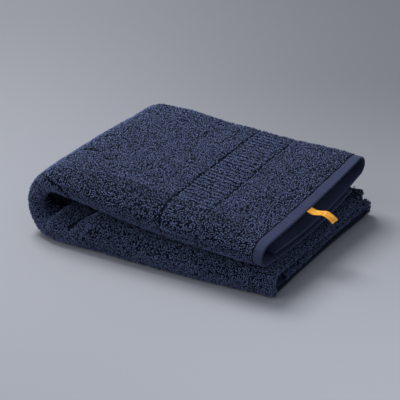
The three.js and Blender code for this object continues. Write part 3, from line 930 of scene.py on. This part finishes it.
def makeTerry():
    # loops: painted shade, dark at their feet and lighter at their crowns; each has its own tone, with
    # painted light in the border, over slow patches of tone
    look = terryLook
    add, shade = newMaterial("terry_loops")
    coords = add("ShaderNodeTexCoord").outputs["Object"]
    stops = [(0.0, look["footShade"]), (look["lowPlace"], look["low"]), (1.0, look["high"])]
    colour = colourRamp(add, attribute(add, "depth"), stops)
    tone = add("ShaderNodeMapRange", {
        "Value": attribute(add, "toneAndLight"),
        "To Min": look["toneLow"],
        "To Max": look["toneHigh"],
    })
    patchTone = add("ShaderNodeMapRange", {
        "Value": noise(add, coords, look["patches"], 3),
        "From Min": 0.3,
        "From Max": 0.7,
        "To Min": look["patchLow"],
        "To Max": look["patchHigh"],
    })
    both = product(add, tone.outputs["Result"], patchTone.outputs["Result"])
    toned = add("ShaderNodeVectorMath", {0: colour, "Scale": both}, operation="SCALE")
    fibres = noise(add, coords, look["fibres"], 1)
    return shade({
        "Base Color": toned.outputs["Vector"],
        "Normal": bump(add, fibres, 0.35, look["fibreHeight"]),
        "Roughness": look["roughness"],
        "Sheen Weight": look["sheen"],
        "Sheen Roughness": 0.5,
        "Sheen Tint": look["sheenTint"],
        "Specular IOR Level": 0.15,
    })


clothLook = {
    # ground: near black, painted shade between the loops where the woven ground shows
    "ground": (0.003, 0.005, 0.014),
    "bareShadedGap": (0.018, 0.024, 0.052),
    "bareLitCrown": (0.048, 0.060, 0.110),
    "hemLow": (0.026, 0.032, 0.068),
    "hemHigh": (0.045, 0.054, 0.110),
    "loopSize": 430,  # loops to the metre in the bump of the pile that carries no loops of its own
    "loopHeight": 0.0012,
    "clumpSize": 240,
    "clumpShare": 0.8,
    "twill": 550,  # the wave's scale, which puts the hem's lines about 1.1 mm apart
    "twillHeight": 0.00018,
    "puckers": (60, 300, 1),  # scale of the hem's slanting puckers, along and across them
    "puckerSlant": 38,
    "puckerHeight": 0.0024,
}


def makeClothMaterial():
    # the woven ground under the loops, painted near black as shade, a bumped pile where no loops stand, with
    # painted shade at its cells' edges, and the hem's fine twill
    look = clothLook
    add, shade = newMaterial("towel_cloth_weave")
    flat = add("ShaderNodeUVMap", uv_map="flat").outputs["UV"]
    hem = attribute(add, "hem")
    bare = attribute(add, "bare")
    cells = add("ShaderNodeTexVoronoi", {"Vector": flat, "Scale": look["loopSize"]},
                feature="F1", voronoi_dimensions="2D").outputs["Distance"]
    lines = {"Vector": flat, "Scale": look["twill"], "Distortion": 1.2, "Detail": 1}
    twill = add("ShaderNodeTexWave", lines, wave_type="BANDS", bands_direction="DIAGONAL").outputs["Fac"]
    # painted shade: the bare pile is light at its cells' middles and dark at their edges, as in the gaps
    # between loops
    bareShadedColour = colourRamp(add, cells, [(0.0, look["bareLitCrown"]), (0.75, look["bareShadedGap"])])
    hemColour = colourRamp(add, twill, [(0.2, look["hemLow"]), (0.8, look["hemHigh"])])
    # painted shade: under the loops the ground is near black; the bare pile takes its shaded cell colour
    ground = add("ShaderNodeMix", {0: bare, 6: (*look["ground"], 1), 7: bareShadedColour}, data_type="RGBA")
    colour = add("ShaderNodeMix", {0: hem, 6: ground.outputs[2], 7: hemColour}, data_type="RGBA")

    clumps = noise(add, flat, look["clumpSize"], 3, noise_dimensions="2D")
    turned = add("ShaderNodeMath", {0: 1.0, 1: cells}, operation="SUBTRACT").outputs["Value"]
    rough = add("ShaderNodeMath", {0: clumps, 1: look["clumpShare"], 2: turned}, operation="MULTIPLY_ADD")
    slant = add("ShaderNodeMapping", {
        "Vector": flat,
        "Rotation": (0, 0, math.radians(look["puckerSlant"])),
        "Scale": look["puckers"],
    })
    puckers = noise(add, slant.outputs["Vector"], 1.0, 2, noise_dimensions="2D")
    loops = bump(add, product(add, rough.outputs["Value"], bare), 0.9, look["loopHeight"])
    gather = bump(add, product(add, puckers, hem), 0.8, look["puckerHeight"], Normal=loops)
    fine = bump(add, product(add, twill, hem), 0.5, look["twillHeight"], Normal=gather)
    return shade({
        "Base Color": colour.outputs[2],
        "Normal": fine,
        "Roughness": 0.86,
        "Sheen Weight": 0.12,
        "Sheen Tint": terryLook["sheenTint"],
        "Specular IOR Level": 0.1,
    })


threadLook = {
    "dark": (0.034, 0.042, 0.080),
    "light": (0.070, 0.084, 0.150),
    "ply": 700,
}


def makeThread():
    # hem thread: twisted two-ply, a shade lighter than the hem
    look = threadLook
    add, shade = newMaterial("hem_thread")
    coords = add("ShaderNodeTexCoord").outputs["Object"]
    ply = add("ShaderNodeTexWave", {"Vector": coords, "Scale": look["ply"]}, bands_direction="DIAGONAL")
    colour = colourRamp(add, ply.outputs["Fac"], [(0.0, look["dark"]), (1.0, look["light"])])
    return shade({"Base Color": colour, "Roughness": 0.6})


ribbonLook = {
    "shade": (0.55, 0.20, 0.004),
    "body": (0.82, 0.36, 0.010),
    "light": (0.95, 0.52, 0.045),
    "threads": 850,  # the waves' scale, which puts the threads about 0.37 mm apart
    "threadHeight": 0.00012,
    "sheenStreaks": 260,
    "selvedge": (0.86, 0.94),  # where it sets in and is full, from 0 at the middle to 1 at the edge
    "selvedgeTint": (0.82, 0.74, 0.6),
}


def makeRibbon():
    # satin ribbon: fine threads across, a closer selvedge at both edges, and slow streaks of painted sheen,
    # from shade to highlight
    look = ribbonLook
    add, shade = newMaterial("label_satin")
    flat = add("ShaderNodeUVMap", uv_map="flat").outputs["UV"]
    threads = {"Vector": flat, "Scale": look["threads"]}
    weft = add("ShaderNodeTexWave", {**threads, "Distortion": 0.4}, bands_direction="X").outputs["Fac"]
    warp = add("ShaderNodeTexWave", threads, bands_direction="Y").outputs["Fac"]
    # painted sheen: slow streaks of shade and highlight across the ribbon's colour
    stops = [(0.25, look["shade"]), (0.5, look["body"]), (0.8, look["light"])]
    colour = colourRamp(add, noise(add, flat, look["sheenStreaks"], 2, noise_dimensions="2D"), stops)
    edge = add("ShaderNodeMapRange", {
        "Value": attribute(add, "selvedge"),
        "From Min": look["selvedge"][0],
        "From Max": look["selvedge"][1],
    }).outputs["Result"]
    darker = add("ShaderNodeMix", {0: edge, 6: colour, 7: (*look["selvedgeTint"], 1)},
                 data_type="RGBA", blend_type="MULTIPLY")
    return shade({
        "Base Color": darker.outputs[2],
        "Normal": bump(add, product(add, weft, warp), 0.5, look["threadHeight"]),
        "Roughness": 0.42,
    })


terry = makeTerry()
towelSheet.data.materials.append(makeClothMaterial())
for piece in pileLoops:
    piece.data.materials.append(terry)
hemStitches.data.materials.append(makeThread())
labelWeave.data.materials.append(makeRibbon())
print("stage: materials")


# what each piece rides on and stands for

for piece in [towelSheet, hemStitches, labelWeave, *pileLoops]:
    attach(piece, "root")
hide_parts("towel_cloth")
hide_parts("label_ribbon")


# floor, light and camera

studio = {
    "floorSize": 8.0,
    "floorColour": (0.478, 0.492, 0.541),
    "floorTurn": 31.6,  # degrees from the frame's X to the line along which the floor's painted light changes least
    "floorHalf": 0.35,  # half width of the stretch over which its painted light changes
    "lightFalloffLeft": (-0.22, 0.85, 0.64, 0.41),  # near end and far end of the painted light's falloff on the left, and both tones
    "lightFalloffRight": (-0.55, 0.55, 0.86, 0.325),
    "worldColour": (0.70, 0.75, 0.86),
    "worldStrength": 0.47,
    "keyPower": 45,
    "keySize": 1.0,
    "keyFrom": (-1.02, 0.34, 1.78),
    "fillPower": 26,
    "fillSize": 2.4,
    "fillFrom": (-1.3, -2.2, 1.6),
}
# the view: where the camera looks, in the form's millimetres, and from where
view = {
    "azimuth": 31.6,
    "elevation": 26.3,
    "distance": 1803.0,
    "target": (168.0, 128.0, 40.0),
    "right": 7.3,  # the target's shift to the picture's middle
    "up": -8.5,
    "lens": 130.5,
    "sensor": 36.0,
}


def makeFloor():
    half = studio["floorSize"] / 2
    points = np.array([(-half, -half, 0), (half, -half, 0), (half, half, 0), (-half, half, 0)]) / mm - place
    floor = makeMesh("floor", points, np.array([[0, 1, 2, 3]]), smooth=False)
    add, shade = newMaterial("floor_painted_light")
    turned = add("ShaderNodeVectorRotate", {
        "Vector": add("ShaderNodeTexCoord").outputs["Object"],
        "Angle": -math.radians(studio["floorTurn"]),
    }, rotation_type="Z_AXIS")
    split = add("ShaderNodeSeparateXYZ", {"Vector": turned.outputs["Vector"]})

    def change(axis, *ends):  # a number that changes smoothly along an axis: start, stop, low and high
        inputs = dict(zip(["From Min", "From Max", "To Min", "To Max"], ends), Value=split.outputs[axis])
        return add("ShaderNodeMapRange", inputs, interpolation_type="SMOOTHSTEP").outputs["Result"]

    # painted light: the floor's tone falls off towards the back, more steeply on the right
    tone = add("ShaderNodeMix", {
        0: change("X", -studio["floorHalf"], studio["floorHalf"], 0, 1),
        2: change("Y", *studio["lightFalloffLeft"]),
        3: change("Y", *studio["lightFalloffRight"]),
    }, data_type="FLOAT")
    colour = add("ShaderNodeVectorMath", {0: studio["floorColour"], "Scale": tone.outputs[0]},
                 operation="SCALE")
    floor.data.materials.append(shade({
        "Base Color": colour.outputs["Vector"],
        "Roughness": 0.75,
        "Specular IOR Level": 0.2,
    }))


def makeLight(name, power, size, source):
    # a square lamp that points at the frame's origin
    lamp = bpy.data.lights.new(name, "AREA")
    lamp.energy = power
    lamp.size = size
    holder = bpy.data.objects.new(name, lamp)
    holder.location = source
    holder.rotation_euler = (-Vector(source)).to_track_quat("-Z", "Y").to_euler()
    bpy.context.scene.collection.objects.link(holder)


def makeWorld():
    world = bpy.data.worlds.new("studio")
    world.use_nodes = True
    background = world.node_tree.nodes["Background"]
    background.inputs["Color"].default_value = (*studio["worldColour"], 1)
    background.inputs["Strength"].default_value = studio["worldStrength"]
    bpy.context.scene.world = world


def makeCamera():
    a, e = math.radians(view["azimuth"]), math.radians(view["elevation"])
    right = Vector((math.cos(a), math.sin(a), 0))
    up = Vector((-math.sin(a) * math.sin(e), math.cos(a) * math.sin(e), math.cos(e)))
    away = Vector((math.sin(a) * math.cos(e), -math.cos(a) * math.cos(e), math.sin(e)))
    target = Vector(view["target"]) + Vector(place.tolist()) + right * view["right"] + up * view["up"]
    lens = bpy.data.cameras.new("camera")
    lens.lens = view["lens"]
    lens.sensor_width = view["sensor"]
    camera = bpy.data.objects.new("camera", lens)
    camera.location = (target + away * view["distance"]) * mm
    camera.rotation_euler = (-away).to_track_quat("-Z", "Y").to_euler()
    bpy.context.scene.collection.objects.link(camera)
    bpy.context.scene.camera = camera


makeFloor()
makeLight("key_light", studio["keyPower"], studio["keySize"], studio["keyFrom"])
makeLight("fill_light", studio["fillPower"], studio["fillSize"], studio["fillFrom"])
makeWorld()
makeCamera()
bpy.context.scene.view_settings.view_transform = "Standard"
print("stage: floor, light and camera")
